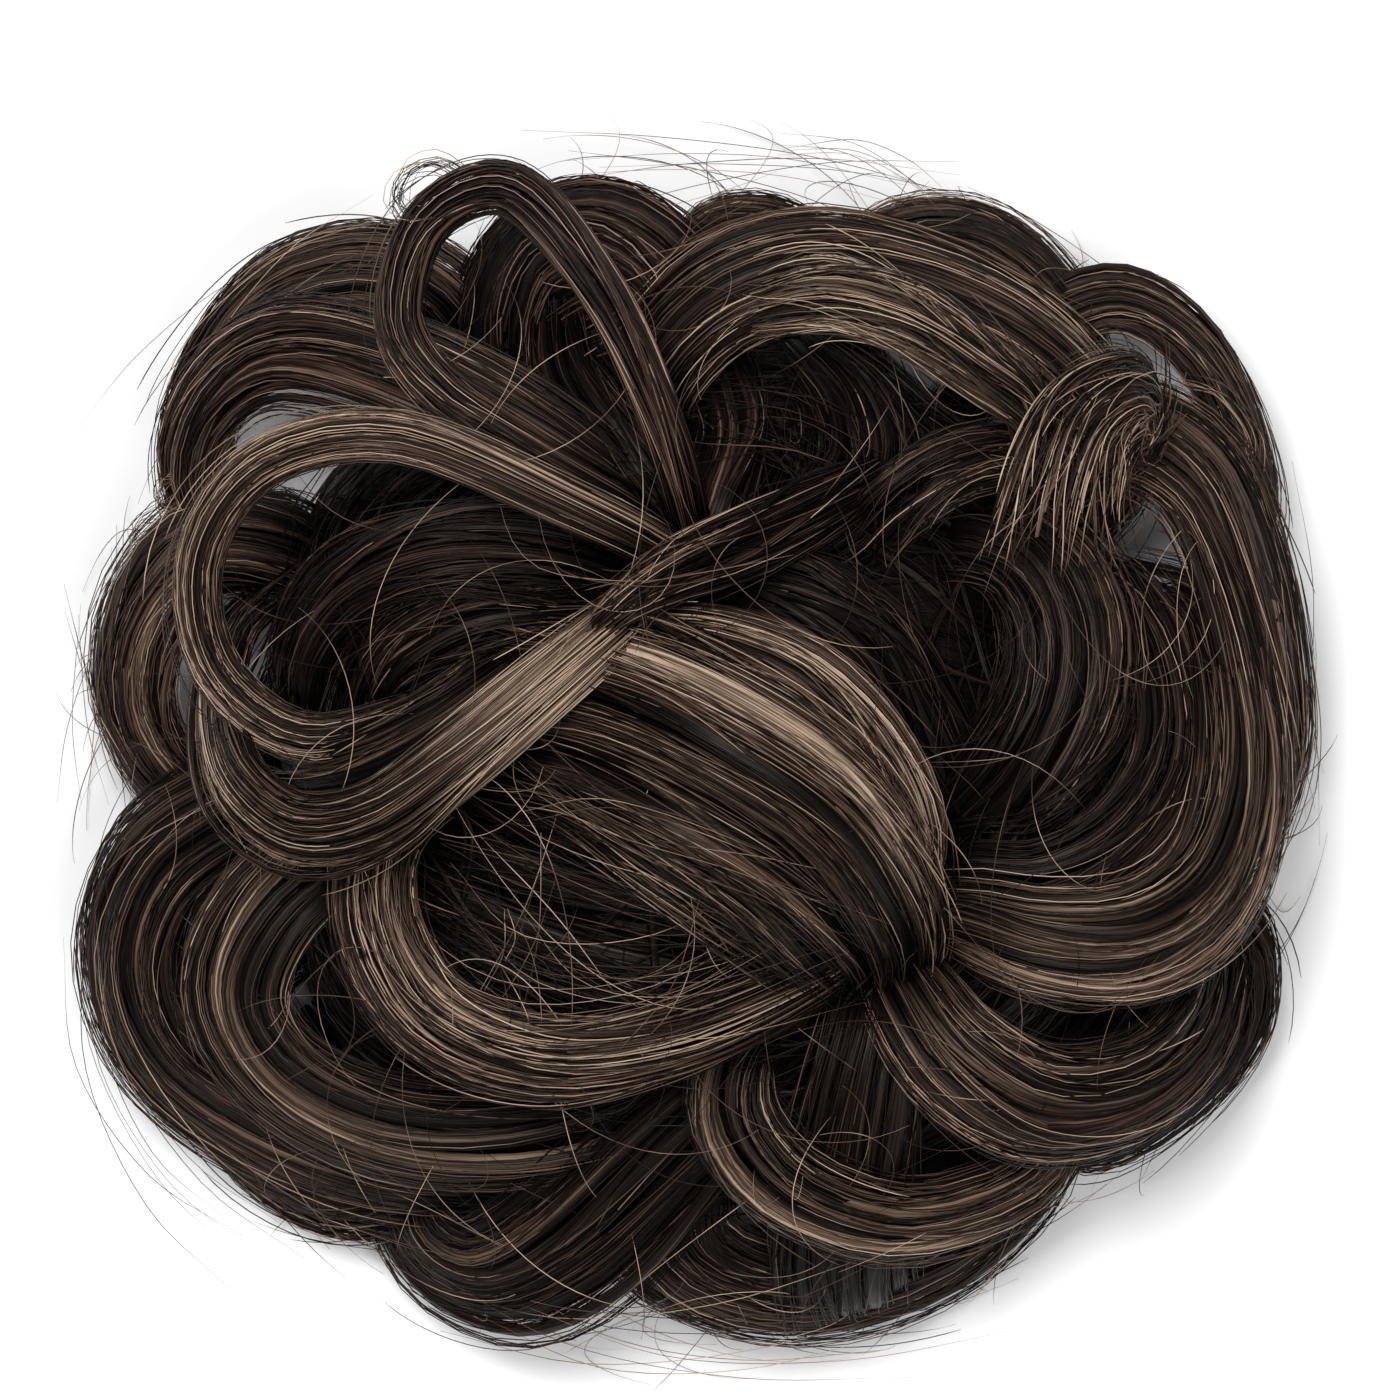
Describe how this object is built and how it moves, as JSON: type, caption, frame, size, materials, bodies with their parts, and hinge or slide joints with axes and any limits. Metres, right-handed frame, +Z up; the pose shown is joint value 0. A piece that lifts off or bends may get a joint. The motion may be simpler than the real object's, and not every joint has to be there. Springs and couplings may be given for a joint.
{
  "type": "top knot hairpiece",
  "caption": "Messy bun hairpiece: curled locks of synthetic hair around a core, sewn by a weft to an elastic band that goes over the wearer's own bun.",
  "frame": {"origin": "middle of the underside, on the elastic band's axis", "axes": "+Z up through the crown of the bun, away from the head; +X to the right and +Y to the top of the picture, which looks straight down -Z"},
  "size_m": [0.1612, 0.1517, 0.0747],
  "materials": {
    "elastic": "black knitted elastic",
    "weft": "dark sewn weft",
    "hair": "dark brown synthetic hair, soft sheen",
    "light_hair": "dark blonde synthetic hair, soft sheen"
  },
  "bodies": {
    "root": {"elastic_band": "elastic", "weft_ring": "weft", "hair_core": "hair", "crown": "hair", "crown_edge": "light_hair", "crown_shadow": "hair", "loop_top": "hair", "loop_left": "light_hair", "loop_left_low": "light_hair", "inner_left": "hair", "inner_left_fan": "hair", "hoop_low": "hair", "petal_left_inner": "hair", "petal_left_low": "hair", "petal_bottom_left": "hair", "petal_bottom": "hair", "petal_bottom_mid": "hair", "petal_bottom_right": "hair", "petal_bottom_right_low": "hair", "petal_low_right": "hair", "petal_low_right_outer": "hair", "petal_right_low": "hair", "petal_right_inner": "hair", "swirl_right": "hair", "petal_right": "hair", "petal_top_right": "hair", "sweep_top": "hair", "flick_top": "light_hair", "flick_inner": "hair", "flick_right": "light_hair", "twist": "hair", "hump_top_left": "hair", "hump_top_mid": "hair", "hump_top_right": "hair", "petal_left_top": "hair", "petal_top_left": "hair", "petal_left": "hair"}
  },
  "joints": []
}
